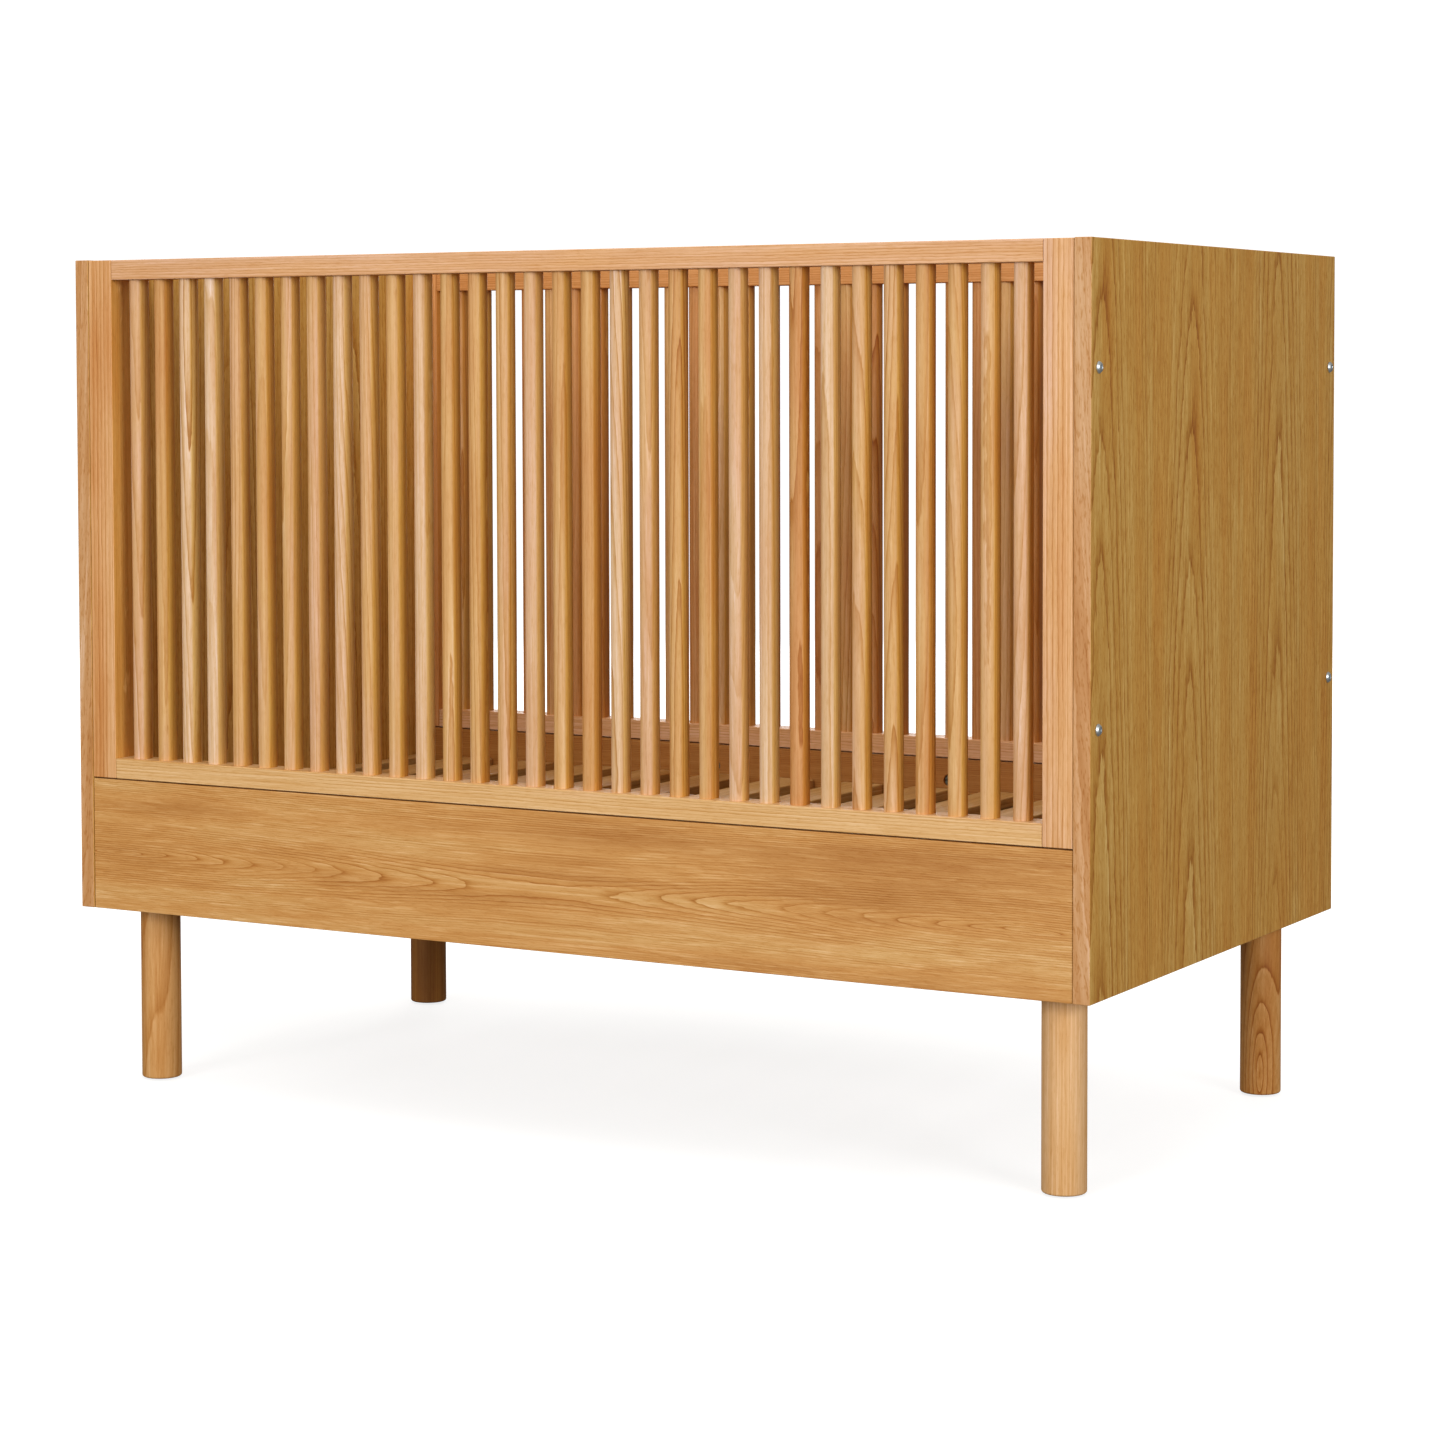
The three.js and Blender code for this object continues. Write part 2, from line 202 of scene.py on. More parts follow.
def growth_rings(tree, grain, spacing, wander, jag):
    """Two masks from 0 to 1: the dark line that starts each year's growth, and the pale wood that ends it.

    The rings wander by up to about that many metres over the board, and their edges are jagged by jag.
    """
    broad = noise(tree, grain, (6.0, 6.0, 1.3)).outputs["Color"]
    middle = noise(tree, grain, (40.0, 40.0, 8.0)).outputs["Color"]
    fine = noise(tree, grain, (230.0, 230.0, 45.0)).outputs["Color"]
    bent = vector_maths(tree, "MULTIPLY_ADD", broad, (wander,) * 3, grain)
    bent = vector_maths(tree, "MULTIPLY_ADD", middle, (wander * 0.2,) * 3, bent)
    bent = vector_maths(tree, "MULTIPLY_ADD", fine, (jag,) * 3, bent)
    flat = vector_maths(tree, "MULTIPLY", bent, (1.0, 1.0, 0.0))
    radius = add(tree, "ShaderNodeVectorMath", {0: flat}, operation="LENGTH").outputs["Value"]
    pace = noise_along(tree, radius, 35.0, 1.0)
    years = maths(tree, "MULTIPLY_ADD", pace, 2.0, maths(tree, "DIVIDE", radius, spacing))
    part = maths(tree, "FRACT", years)
    year = maths(tree, "FLOOR", years)
    luck = draw(tree, year)
    spell = noise_along(tree, years, 0.13, 0.0)
    mark = maths(tree, "MULTIPLY_ADD", ease(tree, spell, 0.4, 0.62), 0.65, 0.15)
    mark = maths(tree, "MULTIPLY_ADD", luck[0], 0.2, mark)
    fade = maths(tree, "POWER", maths(tree, "SUBTRACT", 1.0, part), 5.0)
    dark = maths(tree, "MAXIMUM", fade, ease(tree, part, 0.94, 1.0))
    pale = maths(tree, "MULTIPLY", ease(tree, part, 0.7, 0.9), maths(tree, "SUBTRACT", 1.0, dark))
    rare = maths(tree, "POWER", luck[1], 2.5)
    return maths(tree, "MULTIPLY", dark, mark), maths(tree, "MULTIPLY", pale, rare)


def tone_ramp(tree, tone, tones):
    """A ramp through the tones, evenly spaced from 0 to 1."""
    ramp = add(tree, "ShaderNodeValToRGB", {0: tone})
    stops = ramp.color_ramp.elements
    while len(stops) < len(tones):
        stops.new(0.5)
    for i, colour in enumerate(tones):
        stops[i].position = i / (len(tones) - 1)
        stops[i].color = colour
    return ramp.outputs[0]


def deepened(tree, colour, amount):
    """Wood turns browner where it is darker: below 1, the amount takes blue away first and red last."""
    channels = (maths(tree, "POWER", amount, power) for power in (0.55, 1.0, 2.0))
    filtered = add(tree, "ShaderNodeCombineColor", enumerate(channels)).outputs[0]
    return blend(tree, 1.0, colour, filtered, "MULTIPLY")


def wood(name, axes, tones, leaf=0.0, spacing=0.005, wander=0.012, jag=0.002, contrast=0.4, pale_lines=0.3,
         fibre=380.0, streak=1.0, pitting=0.12, thread=0.12, drift=1.1, edge_tones=None, side_shade=None):
    """Oiled ash, whose axes are those across, through and along the grain.

    Each object with this finish says where its pith is, how that leans, how strongly its rings show, and
    how deep its own tone is, from 0, the first of the tones, to 1, the last. A board with edge tones is
    veneered: its edges are covered with a band of another wood, whose grain runs along them. The tint given
    for the faces across the grain is painted shade: it browns them, standing in for the shade on the sides
    of slats and stiles. The lengths are in metres, and the other settings are strengths, but for fibre, the
    number of fibres to a metre.
    """
    material, tree, shader = new_material(name)
    grain = grain_space(tree, axes, leaf)
    on_end = facing(tree, axes[2])
    if edge_tones:
        end_grain = grain_space(tree, [axes[1], axes[2], axes[0]], 0.0)
        inputs = {0: on_end, 4: grain, 5: end_grain}
        grain = add(tree, "ShaderNodeMix", inputs, data_type="VECTOR").outputs[1]
    dark, pale = growth_rings(tree, grain, spacing, wander, jag)
    bands = noise(tree, grain, (28.0, 28.0, 0.7)).outputs[0]
    patches = noise(tree, grain, (16.0, 16.0, 6.0)).outputs[0]
    fibres = noise(tree, grain, (fibre, fibre, 7.0), detail=4.0, roughness=0.7).outputs[0]
    pore_noise = noise(tree, grain, (700.0, 700.0, 80.0), detail=2.0, roughness=0.7).outputs[0]
    pores = ease(tree, pore_noise, 0.5, 0.68)
    threads = ease(tree, noise(tree, grain, (420.0, 420.0, 2.5), detail=2.0).outputs[0], 0.54, 0.66)
    dark = maths(tree, "MULTIPLY", dark, own(tree, "figure"))
    if edge_tones:
        on_face = facing(tree, axes[1])
        dark = maths(tree, "MULTIPLY", dark, maths(tree, "MULTIPLY_ADD", on_face, 0.6, 0.4))

    change = maths(tree, "ADD", maths(tree, "MULTIPLY", bands, 1.4), maths(tree, "MULTIPLY", patches, 0.6))
    tone = maths(tree, "MULTIPLY_ADD", change, drift, own(tree, "tone"))
    colour = tone_ramp(tree, maths(tree, "SUBTRACT", tone, drift), tones)
    shade = maths(tree, "MULTIPLY_ADD", fibres, streak, 1.0 - streak / 2)
    shade = maths(tree, "MULTIPLY", shade, maths(tree, "MULTIPLY_ADD", pale, pale_lines, 1.0))
    shade = maths(tree, "MULTIPLY", shade, maths(tree, "MULTIPLY_ADD", dark, -contrast, 1.0))
    shade = maths(tree, "MULTIPLY", shade, maths(tree, "MULTIPLY_ADD", pores, -pitting, 1 + pitting / 4))
    shade = maths(tree, "MULTIPLY", shade, maths(tree, "MULTIPLY_ADD", threads, thread, 1.0 - thread / 4))
    if edge_tones:
        edge_colour = tone_ramp(tree, maths(tree, "SUBTRACT", tone, drift), edge_tones)
        colour = blend(tree, on_face, edge_colour, colour)
    else:
        shade = maths(tree, "MULTIPLY", shade, maths(tree, "MULTIPLY_ADD", on_end, -0.25, 1.0))
    # Painted shade: the faces across the grain are tinted browner and less blue, for the shade on the sides
    # of slats and stiles.
    if side_shade:
        side_shaded = blend(tree, 1.0, colour, side_shade, "MULTIPLY")
        colour = blend(tree, facing(tree, axes[0], 0.75, 1.0), colour, side_shaded)
    feed(tree, shader.inputs["Base Color"], deepened(tree, colour, shade))

    rough = maths(tree, "MULTIPLY_ADD", pores, 0.12, maths(tree, "MULTIPLY_ADD", fibres, 0.2, 0.42))
    feed(tree, shader.inputs["Roughness"], rough)
    height = maths(tree, "SUBTRACT", fibres, maths(tree, "ADD", pores, dark))
    bump = add(tree, "ShaderNodeBump", {"Height": height, "Strength": 0.4, "Distance": 0.0002})
    feed(tree, shader.inputs["Normal"], bump.outputs[0])
    shader.inputs["IOR"].default_value = 1.4
    return material


# Axes across, through and along the grain.
UPRIGHT = "XYZ"
UPRIGHT_PANEL = "YXZ"
LENGTHWISE = "ZYX"
CROSSWISE = "XZY"
CROSSWISE_ON_EDGE = "ZXY"
AXES = {"X": 0, "Y": 1, "Z": 2}


def axes(letters):
    return [AXES[letter] for letter in letters]


PANEL_TONES = (tint(204, 162, 88), tint(196, 145, 66), tint(194, 132, 50))
APRON_TONES = (tint(221, 178, 116), tint(206, 150, 84), tint(178, 118, 52))
EDGE_TONES = (tint(210, 168, 123), tint(199, 144, 90), tint(180, 122, 62))
GATE_TONES = (tint(222, 177, 119), tint(222, 174, 138), tint(221, 167, 112), tint(205, 140, 78))
SLAT_TONES = (tint(222, 185, 146), tint(214, 167, 127), tint(212, 165, 105), tint(199, 138, 80))
# The darkest leg tone is partly dark wood and partly painted shade: the rear left leg, in the crib's shade,
# is drawn with it.
LEG_TONES = (tint(233, 189, 140), tint(216, 161, 98), tint(192, 126, 54), tint(134, 82, 26))
BASE_TONES = (tint(190, 146, 86), tint(162, 114, 58))
# Painted shade for the faces across the grain of slats and stiles: a browner, less blue tint.
SIDE_SHADE_TINT = (1.02, 0.95, 0.5, 1.0)

WOODS = {
    "panel": wood("panel_wood", axes(UPRIGHT_PANEL), PANEL_TONES, leaf=0.235, spacing=0.0062, wander=0.02,
                  jag=0.003, contrast=0.65, fibre=240.0, pitting=0.35, thread=0.2, drift=1.1,
                  edge_tones=EDGE_TONES),
    "apron": wood("apron_wood", axes(LENGTHWISE), APRON_TONES, spacing=0.0022, wander=0.016, jag=0.001,
                  contrast=0.6, pale_lines=0.15, streak=1.0, thread=0.2, drift=1.1),
    "stile": wood("gate_wood_upright", axes(UPRIGHT), GATE_TONES, contrast=0.55, side_shade=SIDE_SHADE_TINT),
    "rail": wood("gate_wood_lengthwise", axes(LENGTHWISE), GATE_TONES, spacing=0.003, contrast=0.5,
                 drift=0.7),
    "slat": wood("slat_wood", axes(UPRIGHT), SLAT_TONES, spacing=0.0036, wander=0.006, jag=0.001,
                 contrast=0.7, streak=0.8, side_shade=SIDE_SHADE_TINT),
    "leg": wood("leg_wood", axes(UPRIGHT), LEG_TONES, spacing=0.0042, wander=0.006, jag=0.0008,
                contrast=0.6, drift=0.6),
    "block": wood("block_wood", axes(LENGTHWISE), LEG_TONES),
    "base_side": wood("base_wood_lengthwise", axes(LENGTHWISE), BASE_TONES),
    "base_end": wood("base_wood_on_edge", axes(CROSSWISE_ON_EDGE), BASE_TONES),
    "base_slat": wood("base_wood_crosswise", axes(CROSSWISE), BASE_TONES),
}


def dress(piece, material):
    """Gives a piece one material."""
    piece.data.materials.clear()
    piece.data.materials.append(material)


def timber(piece, kind, tone, pith, lean=0.15, figure=1.0):
    """Gives a piece its wood, its depth of tone, its pith's place and lean, and its rings' strength."""
    dress(piece, WOODS[kind])
    piece["tone"] = tone
    piece["lean"] = lean
    piece["figure"] = figure
    piece["pith"] = [float(value) for value in pith]


# ---- Metal and plastic ----
def zinc(name, dull, bright):
    """Zinc plate, cloudy between two tones, with fine scuffs."""
    material, tree, shader = new_material(name)
    place = add(tree, "ShaderNodeTexCoord").outputs["Object"]
    clouds = noise(tree, place, (260.0,) * 3).outputs[0]
    scuffs = noise(tree, place, (2600.0, 2600.0, 420.0), detail=3.0).outputs[0]
    feed(tree, shader.inputs["Base Color"], blend(tree, clouds, dull, bright))
    rough = maths(tree, "MULTIPLY_ADD", scuffs, 0.22, 0.3)
    feed(tree, shader.inputs["Roughness"], rough)
    bump = add(tree, "ShaderNodeBump", {"Height": scuffs, "Strength": 0.25, "Distance": 0.00005})
    feed(tree, shader.inputs["Normal"], bump.outputs[0])
    shader.inputs["Metallic"].default_value = 1.0
    return material


def black_plastic():
    """Moulded plastic with a fine spark-eroded grain."""
    material, tree, shader = new_material("black_plastic")
    place = add(tree, "ShaderNodeTexCoord").outputs["Object"]
    speckle = noise(tree, place, (2400.0,) * 3, detail=3.0).outputs[0]
    feed(tree, shader.inputs["Base Color"], blend(tree, speckle, tint(20, 18, 17), tint(44, 41, 39)))
    feed(tree, shader.inputs["Roughness"], maths(tree, "MULTIPLY_ADD", speckle, 0.25, 0.45))
    bump = add(tree, "ShaderNodeBump", {"Height": speckle, "Strength": 0.4, "Distance": 0.0001})
    feed(tree, shader.inputs["Normal"], bump.outputs[0])
    return material


ZINC = zinc("zinc_steel", tint(190, 200, 208), tint(224, 228, 230))
# The cam locks' cast zinc is drawn far darker than the plate: partly its duller alloy, partly painted shade
# for the hole each sits in.
CAM_ZINC_WITH_PAINTED_SHADE = zinc("cast_zinc_and_painted_shade", tint(88, 90, 80), tint(126, 128, 116))
BLACK_PLASTIC = black_plastic()


# ---- Shapes ----
def new_piece(name, shape, body="crib_frame"):
    """A smooth-shaded piece from a bmesh, riding on a body."""
    mesh = bpy.data.meshes.new(name)
    bmesh.ops.recalc_face_normals(shape, faces=shape.faces)
    shape.to_mesh(mesh)
    shape.free()
    mesh.shade_smooth()
    mesh.set_sharp_from_angle(angle=SHARP_ANGLE)
    piece = bpy.data.objects.new(name, mesh)
    bpy.context.scene.collection.objects.link(piece)
    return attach(piece, body)


def soften(node, radius=ARRIS):
    """Rounds the edges of a piece of the model, by modifiers alone."""
    weld = node.modifiers.new("weld", "WELD")
    weld.merge_threshold = 1e-5
    flat = node.modifiers.new("flat_faces", "DECIMATE")
    flat.decimate_type = "DISSOLVE"
    flat.angle_limit = math.radians(1)
    edge = node.modifiers.new("arris", "BEVEL")
    edge.width = radius
    edge.segments = ARRIS_STEPS
    edge.limit_method = "ANGLE"
    edge.angle_limit = math.radians(50)
    edge.use_clamp_overlap = False


def stack(shape, outlines):
    """Joins outlines of equal length into a closed skin, with a face on each end."""
    loops = [[shape.verts.new(point) for point in outline] for outline in outlines]
    for low, high in zip(loops, loops[1:]):
        for i in range(len(low)):
            j = (i + 1) % len(low)
            shape.faces.new((low[i], low[j], high[j], high[i]))
    shape.faces.new(loops[0])
    shape.faces.new(loops[-1])


def rounded_rectangle(width, depth, radius, steps=6):
    """Points round a rectangle with round corners, about the origin."""
    points = []
    for quarter, (x, y) in enumerate(((1, 1), (-1, 1), (-1, -1), (1, -1))):
        for step in range(steps + 1):
            angle = (quarter + step / steps) * math.pi / 2
            points.append((x * (width / 2 - radius) + radius * math.cos(angle),
                           y * (depth / 2 - radius) + radius * math.sin(angle)))
    return points


def board(name, low, high, radius=ARRIS):
    shape = bmesh.new()
    bmesh.ops.create_cube(shape, size=1.0)
    centre = (low + high) / 2
    size = high - low
    for vert in shape.verts:
        vert.co = Vector(vert.co[i] * size[i] for i in range(3)) + centre
    bmesh.ops.bevel(shape, geom=shape.edges[:], offset=radius, segments=ARRIS_STEPS, affect="EDGES",
                    profile=0.5)
    piece = new_piece(name, shape)
    piece.modifiers.new("flat_faces", "WEIGHTED_NORMAL")
    return piece


def turned(name, rings, matrix):
    """A turned piece from rings of (radius, height, sides); sides is 0 for a round ring.

    A ring of radius 0 closes an end. The matrix places the piece, whose own axis is +Z.
    """
    shape = bmesh.new()
    loops = []
    for radius, height, sides in rings:
        if radius == 0:
            loops.append([shape.verts.new(matrix @ Vector((0, 0, height)))])
            continue
        loop = []
        for step in range(TURNED_STEPS):
            angle = 2 * math.pi * step / TURNED_STEPS
            reach = radius
            if sides:
                half = math.pi / sides
                reach = radius / math.cos(angle % (2 * half) - half)
            point = Vector((reach * math.cos(angle), reach * math.sin(angle), height))
            loop.append(shape.verts.new(matrix @ point))
        loops.append(loop)
    for low, high in zip(loops, loops[1:]):
        for i in range(TURNED_STEPS):
            j = (i + 1) % TURNED_STEPS
            corners = [low[i % len(low)], low[j % len(low)], high[j % len(high)], high[i % len(high)]]
            shape.faces.new(list(dict.fromkeys(corners)))
    return new_piece(name, shape)


def quarter_round(radius, height, edge, steps=5):
    """Rings round the edge of the lower end face, from the face out to the side."""
    rings = []
    for step in range(steps + 1):
        angle = step / steps * math.pi / 2
        reach = radius - edge + edge * math.sin(angle)
        rise = edge - edge * math.cos(angle)
        rings.append((reach, height + rise, 0))
    return rings


# ---- Pieces ----
REAR_SHADE_DEPTH = {"front": 0.0, "rear": 0.6}  # how much deeper in tone each long side's wood is drawn: painted shade on the rear side, behind the front gate


def gate_slats(face):
    """A gate's bottom rail, and its slats housed in that and in the top rail."""
    node = f"{face}_gate_slatted_rail"
    low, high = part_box(node)
    middle = (low + high) / 2
    rail_top = low.z + BOTTOM_RAIL_HEIGHT
    rail = board(f"{face}_gate_bottom_rail", low, Vector((high.x, high.y, rail_top)))
    # The rear gate's bottom rail and slats are drawn deeper in tone as painted shade.
    timber(rail, "rail", REAR_SHADE_DEPTH[face] - 0.1, (middle.x, middle.y + 0.02, low.z - 0.07))
    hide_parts(node)
    section = rounded_rectangle(SLAT_WIDTH, SLAT_DEPTH, SLAT_CORNER)
    for i in range(SLAT_COUNT):
        x = middle.x + (i - (SLAT_COUNT - 1) / 2) * SLAT_PITCH
        shape = bmesh.new()
        ends = (rail_top - SLAT_HOUSING, high.z + SLAT_HOUSING)
        stack(shape, [[(x + px, middle.y + py, z) for px, py in section] for z in ends])
        slat = new_piece(f"{face}_gate_slat_{i + 1:02d}", shape)
        pith = (x + rng.uniform(-0.015, 0.015), middle.y + rng.uniform(0.005, 0.03), rng.uniform(0.1, 1.2))
        tone = rng.uniform(-0.1, 0.95) + REAR_SHADE_DEPTH[face]
        timber(slat, "slat", tone, pith, rng.uniform(0.1, 1.2), rng.uniform(0.3, 1.1))
        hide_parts(node)


# Each leg's depth of tone, the way from its middle to its pith, its pith's lean, and its rings' strength.
LEG_WOODS = {
    "front_left": (0.45, (0.008, 0.02, 0.3), 0.9, 1.0),
    "front_right": (0.15, (0.3, 0.1, 0.4), 0.1, 0.4),
    # The rear left leg's deep tone is partly dark wood and partly painted shade, for the shade under the
    # crib.
    "rear_left": (0.95, (0.2, 0.1, 0.4), 0.1, 0.5),
    "rear_right": (0.48, (0.012, 0.025, 0.118), 4.0, 1.2),
}


def leg(corner, tone, offset, lean, figure):
    """A turned leg. The offset goes from its middle to its pith."""
    node = f"leg_{corner}"
    low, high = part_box(node)
    centre = (low + high) / 2
    radius = (high.x - low.x) / 2
    foot = quarter_round(radius, low.z, LEG_FOOT_EDGE)
    rings = [(0, low.z, 0), *foot, (radius, high.z, 0), (0, high.z, 0)]
    piece = turned(f"turned_{node}", rings, Matrix.Translation((centre.x, centre.y, 0)))
    timber(piece, "leg", tone, centre + Vector(offset), lean, figure)
    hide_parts(node)


def glide(corner):
    node = f"leg_glide_{corner}"
    low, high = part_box(node)
    centre = (low + high) / 2
    radius = (high.x - low.x) / 2
    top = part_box(f"leg_{corner}")[0].z
    rings = [(0, low.z, 0), *quarter_round(radius, low.z, GLIDE_EDGE), (radius, top, 0), (0, top, 0)]
    piece = turned(f"{node}_disc", rings, Matrix.Translation((centre.x, centre.y, 0)))
    dress(piece, BLACK_PLASTIC)
    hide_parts(node)


def bolt_rings(shank_length):
    """A domed button head over z = 0 with a hexagon socket, and its shank below."""
    steps = 6
    dome = []
    for step in range(steps + 1):
        share = step / steps
        reach = BOLT_HEAD_RADIUS * (1 - (1 - BOLT_CROWN) * share)
        rise = BOLT_RIM + (BOLT_HEAD_HEIGHT - BOLT_RIM) * math.sin(share * math.pi / 2)
        dome.append((reach, rise, 0))
    half_socket = BOLT_SOCKET / 2
    return [
        (0, -shank_length, 0),
        (BOLT_SHANK_RADIUS * 0.8, -shank_length, 0),
        (BOLT_SHANK_RADIUS, -shank_length + 0.0008, 0),
        (BOLT_SHANK_RADIUS, 0, 0),
        (BOLT_HEAD_RADIUS, 0, 0),
        *dome,
        (half_socket * 1.08, BOLT_HEAD_HEIGHT, 6),
        (half_socket, BOLT_HEAD_HEIGHT - 0.0002, 6),
        (half_socket, 0.3 * BOLT_HEAD_HEIGHT, 6),
        (0, 0.18 * BOLT_HEAD_HEIGHT, 0),
    ]


def bolt(node, outward, body):
    """Stands for a bolt of the model whose head points outward along X, 1 or -1."""
    low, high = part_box(node)
    centre = (low + high) / 2
    seat = high.x - BOLT_HEAD_HEIGHT if outward > 0 else low.x + BOLT_HEAD_HEIGHT
    turn = Matrix.Rotation(outward * math.pi / 2, 4, "Y")
    rings = bolt_rings(high.x - low.x - BOLT_HEAD_HEIGHT)
    piece = turned(f"{node}_button_head", rings, Matrix.Translation((seat, centre.y, centre.z)) @ turn)
    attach(piece, body)
    dress(piece, ZINC)
    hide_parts(node)


def carcass():
    """The end panels, aprons and legs, with their corner blocks, glides, leg bolts and cam locks."""
    for side, sign in (("left", -1), ("right", 1)):
        node = NODES[f"{side}_end_panel"]
        soften(node)
        timber(node, "panel", 0.5, (sign * 0.54, -0.068, 1.0), 0.55)
    for face, sign in (("front", -1), ("rear", 1)):
        node = NODES[f"{face}_apron"]
        soften(node)
        # The rear apron is drawn deeper in tone as painted shade.
        timber(node, "apron", 0.5 + REAR_SHADE_DEPTH[face], (0.0, sign * 0.292, 0.278), 1.3)
    for i, corner in enumerate(CORNERS):
        block = NODES[f"corner_block_{corner}"]
        soften(block)
        timber(block, "block", 0.6, (i, 0.05, 0.15))
        leg(corner, *LEG_WOODS[corner])
        glide(corner)
        # The cam locks' darker zinc is partly painted shade.
        for kind, metal in (("leg_bolt", ZINC), ("cam_lock", CAM_ZINC_WITH_PAINTED_SHADE)):
            fitting = NODES[f"{kind}_{corner}"]
            soften(fitting, FITTING_ARRIS)
            dress(fitting, metal)


def gates():
    """Two slatted gates, each bolted between the end panels."""
    for face in FACES:
        gate_slats(face)
        rail = NODES[f"{face}_gate_top_rail"]
        low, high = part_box(rail.name)
        soften(rail)
        # The rear gate's top rail and stiles are drawn deeper in tone as painted shade.
        timber(rail, "rail", 0.45 + REAR_SHADE_DEPTH[face], ((low.x + high.x) / 2, low.y + 0.04, low.z - 0.08))
        for side in SIDES:
            stile = NODES[f"{face}_gate_{side}_stile"]
            low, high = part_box(stile.name)
            soften(stile)
            pith = (low.x - 0.04, low.y + 0.03, rng.uniform(-1, 1))
            timber(stile, "stile", rng.uniform(0.4, 0.65) + REAR_SHADE_DEPTH[face], pith)
            for level in LEVELS:
                bolt(f"gate_bolt_{face}_{side}_{level}", 1 if side == "right" else -1, "crib_frame")


def mattress_base():
    """The slatted base, which rides on the sliding body."""
    for side in SIDES:
        rail = NODES[f"base_end_rail_{side}"]
        soften(rail, BASE_ARRIS)
        timber(rail, "base_end", 0.6, (0.0, 0.0, 0.2))
    for face in FACES:
        rail = NODES[f"base_side_rail_{face}"]
        soften(rail, BASE_ARRIS)
        timber(rail, "base_side", 0.5, (0.0, 0.2, 0.2))
    for name in sorted(NODES):
        if name.startswith("base_slat_"):
            slat = NODES[name]
            low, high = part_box(name)
            soften(slat, BASE_ARRIS)
            x = (low.x + high.x) / 2 + rng.uniform(-0.05, 0.05)
            pith = (x, rng.uniform(-2, 2), low.z - rng.uniform(0.03, 0.08))
            timber(slat, "base_slat", rng.uniform(0.1, 0.9), pith)
    for corner in CORNERS:
        bolt(f"base_bolt_{corner}", 1 if corner.endswith("left") else -1, "mattress_base")


# ---- Studio ----
CAMERA_PLACE = (1.9136, -3.2828, 0.8059)
CAMERA_YAW = math.radians(29.903)
CAMERA_PITCH = math.radians(-2.562)
CAMERA_ROLL = math.radians(-0.131)
CAMERA_LENS = 84.46
CAMERA_RISE = -0.138  # vertical shift of the lens, as a share of the frame
AMBIENT = 0.34
AMBIENT_TINT = (1.0, 0.94, 0.82, 1.0)
SKY = 1.1  # how bright the backdrop is to the camera
FLOOR_GLOW = 0.71  # how bright the floor glows in itself under the crib: dimmer there, as painted shade under it
FLOOR_GLOW_GAIN = 0.29  # how much brighter it glows far from the crib, out of that painted shade
FLOOR_PAINT = (0.4, 0.4, 0.4, 1.0)  # the floor's colour to the camera
FLOOR_BOUNCE = (0.18, 0.18, 0.18, 1.0)  # its colour to the light that bounces off it
WHITE = (1.0, 1.0, 1.0, 1.0)


def camera():
    data = bpy.data.cameras.new("camera")
    data.lens = CAMERA_LENS
    data.sensor_width = 36.0
    data.shift_y = CAMERA_RISE
    eye = bpy.data.objects.new("camera", data)
    turn = Euler((math.pi / 2 + CAMERA_PITCH, 0, CAMERA_YAW)).to_matrix().to_4x4()
    roll = Matrix.Rotation(CAMERA_ROLL, 4, "Z")
    eye.matrix_world = Matrix.Translation(CAMERA_PLACE) @ turn @ roll
    bpy.context.scene.collection.objects.link(eye)
    bpy.context.scene.camera = eye


def softbox(name, place, target, size, power):
    data = bpy.data.lights.new(name, "AREA")
    data.shape = "RECTANGLE"
    data.size, data.size_y = size
    data.energy = power
    lamp = bpy.data.objects.new(name, data)
    lamp.location = place
    lamp.rotation_euler = (Vector(target) - Vector(place)).to_track_quat("-Z", "Y").to_euler()
    bpy.context.scene.collection.objects.link(lamp)


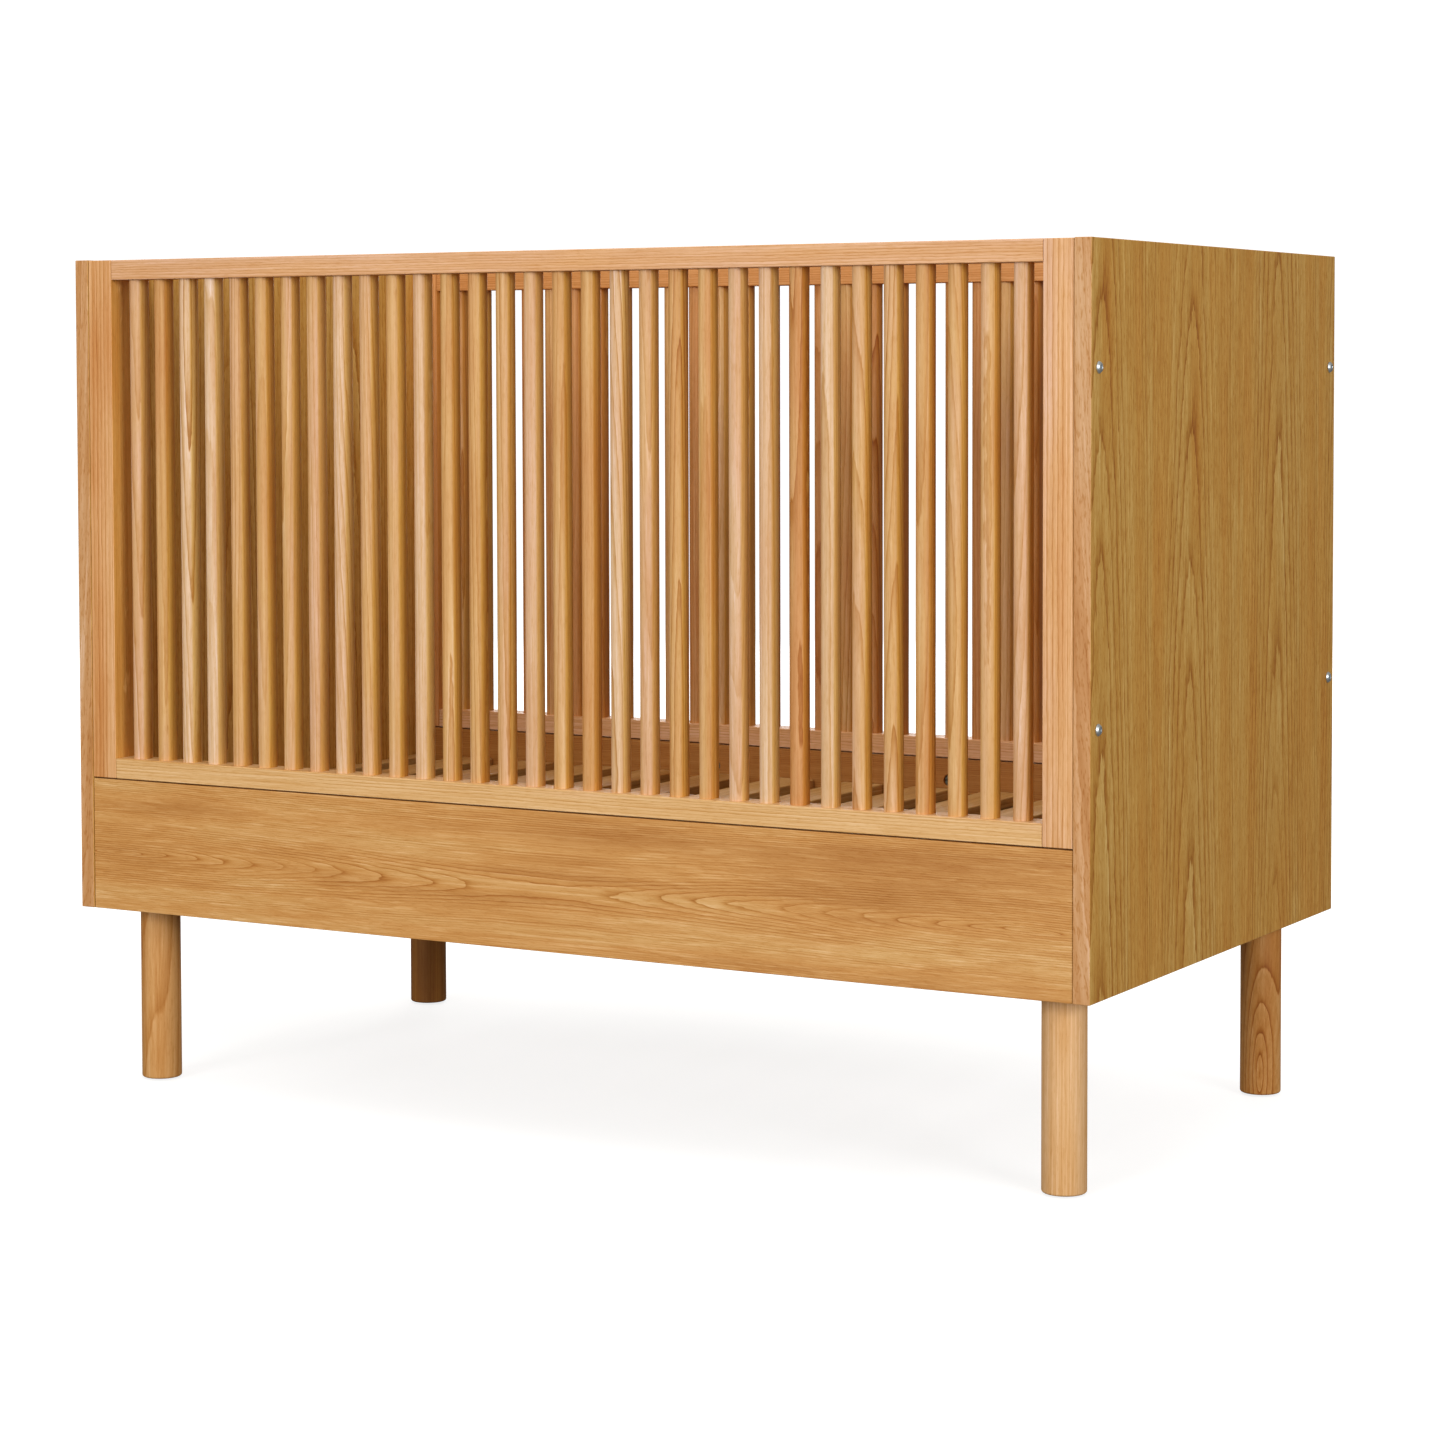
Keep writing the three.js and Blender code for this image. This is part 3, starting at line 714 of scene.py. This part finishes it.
def floor_paint():
    """White paint that glows to the camera, dimmer near the crib as painted shade, shows faint shadows, and
    is duller as a source of bounced light.
    """
    material, tree, shader = new_material("floor_paint")
    seen = add(tree, "ShaderNodeLightPath").outputs["Is Camera Ray"]
    place = add(tree, "ShaderNodeTexCoord").outputs["Object"]
    place = vector_maths(tree, "MULTIPLY", place, (1.0, 2.0, 1.0))
    distance = add(tree, "ShaderNodeVectorMath", {0: place}, operation="LENGTH").outputs["Value"]
    # Painted shade: the floor's glow is dimmer under and near the crib.
    glow = maths(tree, "MULTIPLY_ADD", ease(tree, distance, 0.3, 1.5), FLOOR_GLOW_GAIN, FLOOR_GLOW)
    feed(tree, shader.inputs["Emission Strength"], maths(tree, "MULTIPLY", seen, glow))
    feed(tree, shader.inputs["Base Color"], blend(tree, seen, FLOOR_BOUNCE, FLOOR_PAINT))
    shader.inputs["Emission Color"].default_value = WHITE
    shader.inputs["Roughness"].default_value = 0.9
    shader.inputs["Specular IOR Level"].default_value = 0.0
    return material


def backdrop():
    """A wide pale floor, and a pale sky to match it."""
    shape = bmesh.new()
    bmesh.ops.create_grid(shape, x_segments=1, y_segments=1, size=60.0)
    mesh = bpy.data.meshes.new("floor")
    shape.to_mesh(mesh)
    shape.free()
    floor = bpy.data.objects.new("floor", mesh)
    bpy.context.scene.collection.objects.link(floor)
    mesh.materials.append(floor_paint())

    world = bpy.data.worlds.new("studio")
    bpy.context.scene.world = world
    world.use_nodes = True
    tree = world.node_tree
    seen = add(tree, "ShaderNodeLightPath").outputs["Is Camera Ray"]
    sky = tree.nodes["Background"]
    feed(tree, sky.inputs["Strength"], maths(tree, "MULTIPLY_ADD", seen, SKY - AMBIENT, AMBIENT))
    feed(tree, sky.inputs["Color"], blend(tree, seen, AMBIENT_TINT, WHITE))


def studio():
    camera()
    backdrop()
    middle = (0.0, 0.0, 0.5)
    softbox("key", (-0.6, -6.4, 1.8), middle, (2.8, 2.6), 214)
    softbox("side", (5.8, -3.1, 1.9), middle, (2.4, 2.4), 204)
    softbox("top", (0.2, -0.4, 3.6), middle, (3.0, 2.0), 50)
    softbox("rear", (-2.6, 5.4, 1.8), middle, (2.8, 2.6), 110)
    bpy.context.scene.view_settings.view_transform = "Standard"


studio()
carcass()
gates()
mattress_base()

bpy.context.view_layer.update()
